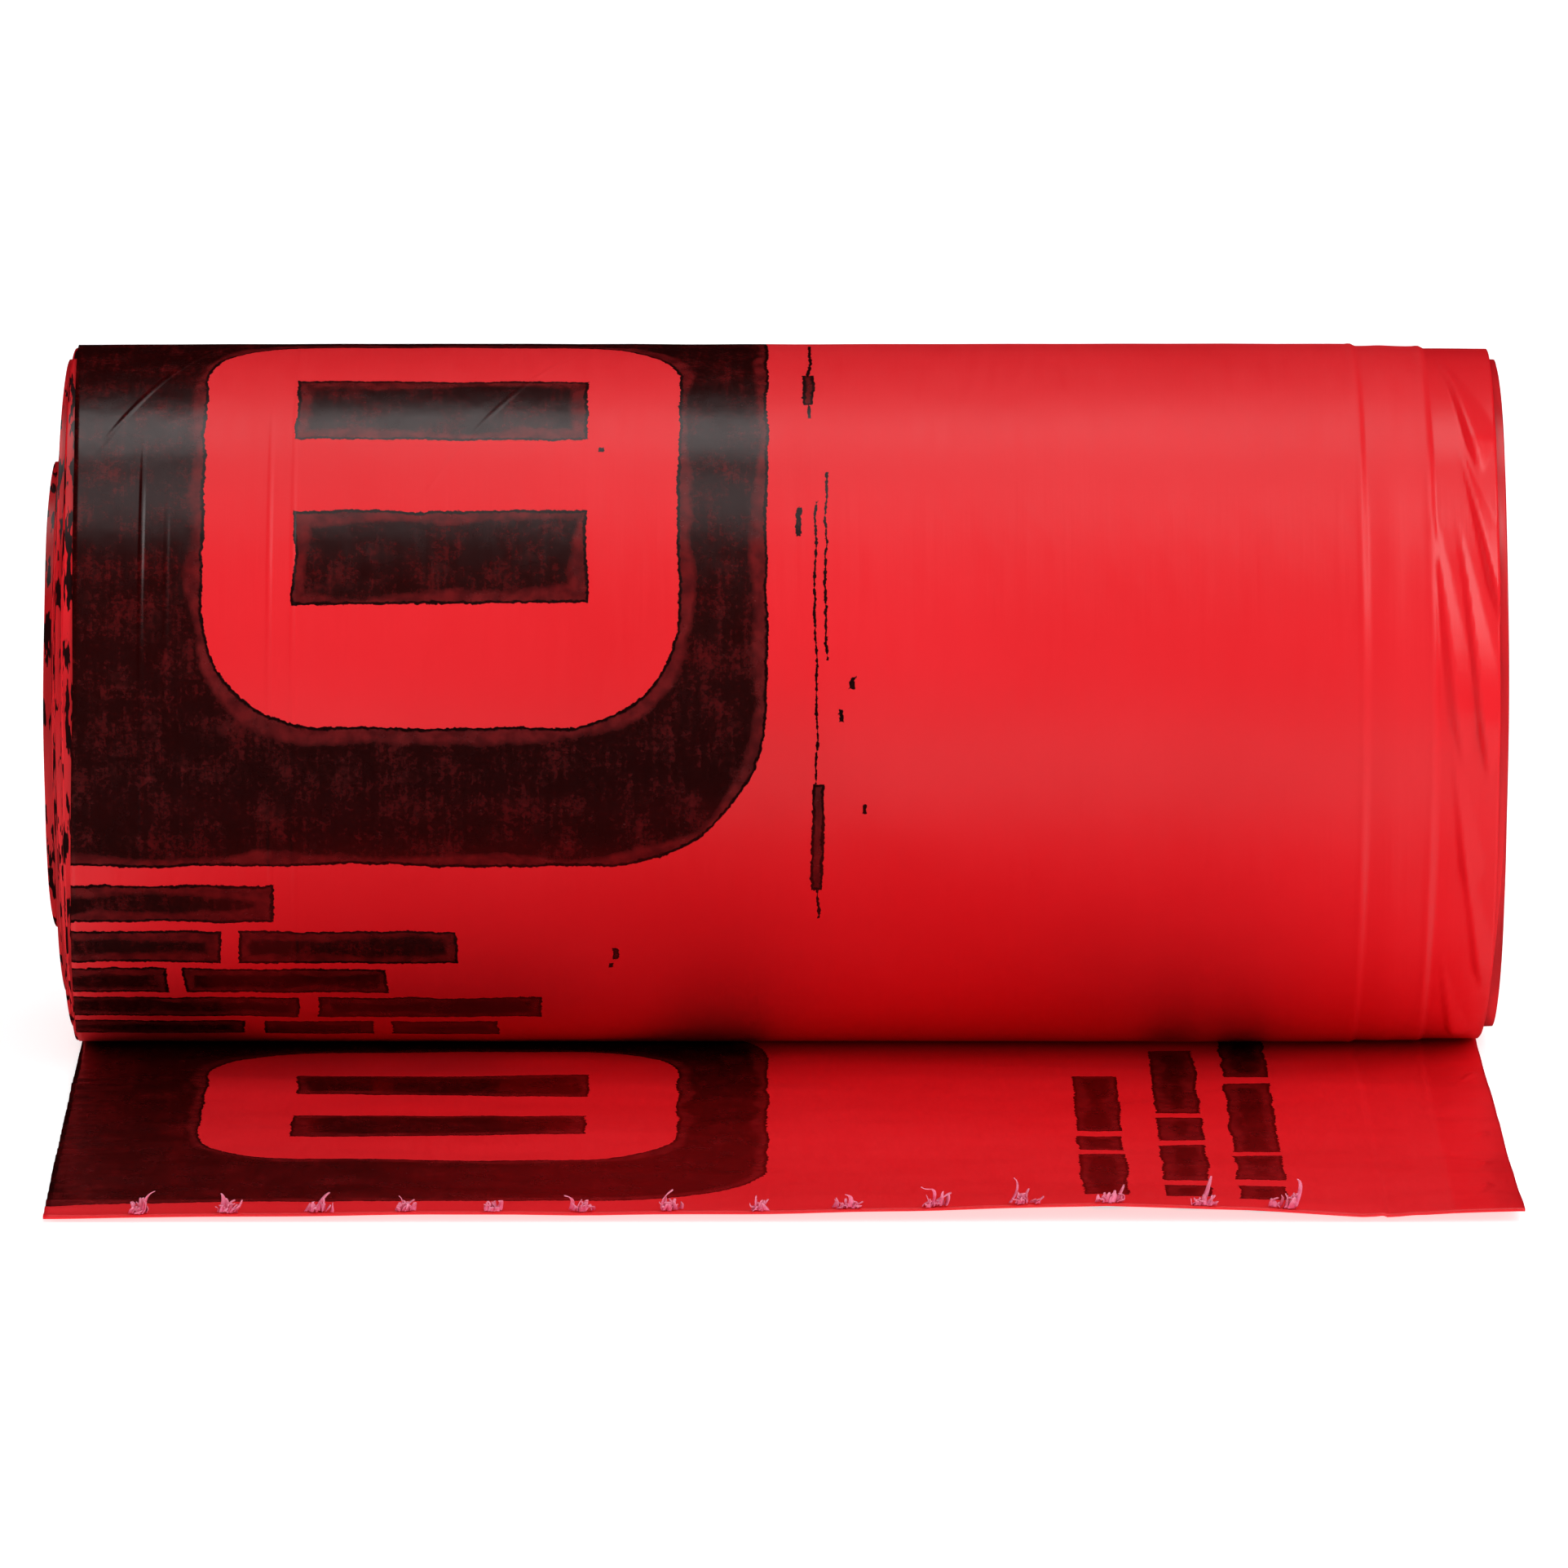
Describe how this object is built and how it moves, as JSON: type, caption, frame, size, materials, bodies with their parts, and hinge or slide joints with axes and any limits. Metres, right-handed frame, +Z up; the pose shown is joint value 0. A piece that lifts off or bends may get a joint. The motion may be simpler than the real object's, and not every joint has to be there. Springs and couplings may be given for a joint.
{
  "type": "roll of biohazard waste bags",
  "caption": "Coreless roll of folded red film waste bags, wound on a hollow centre, with the perforated end of the first bag lying loose in front.",
  "frame": {"origin": "on the floor, under the roll's axis, at the middle of the outermost turn's width", "axes": "+X along the roll's axis, +Z up, and the loose end of the first bag lies towards -Y"},
  "size_m": [0.261, 0.2235, 0.1264],
  "materials": {
    "red_film": "glossy translucent red polyethylene film with black ink"
  },
  "bodies": {
    "root": {"bag_roll": "red_film"}
  },
  "joints": []
}
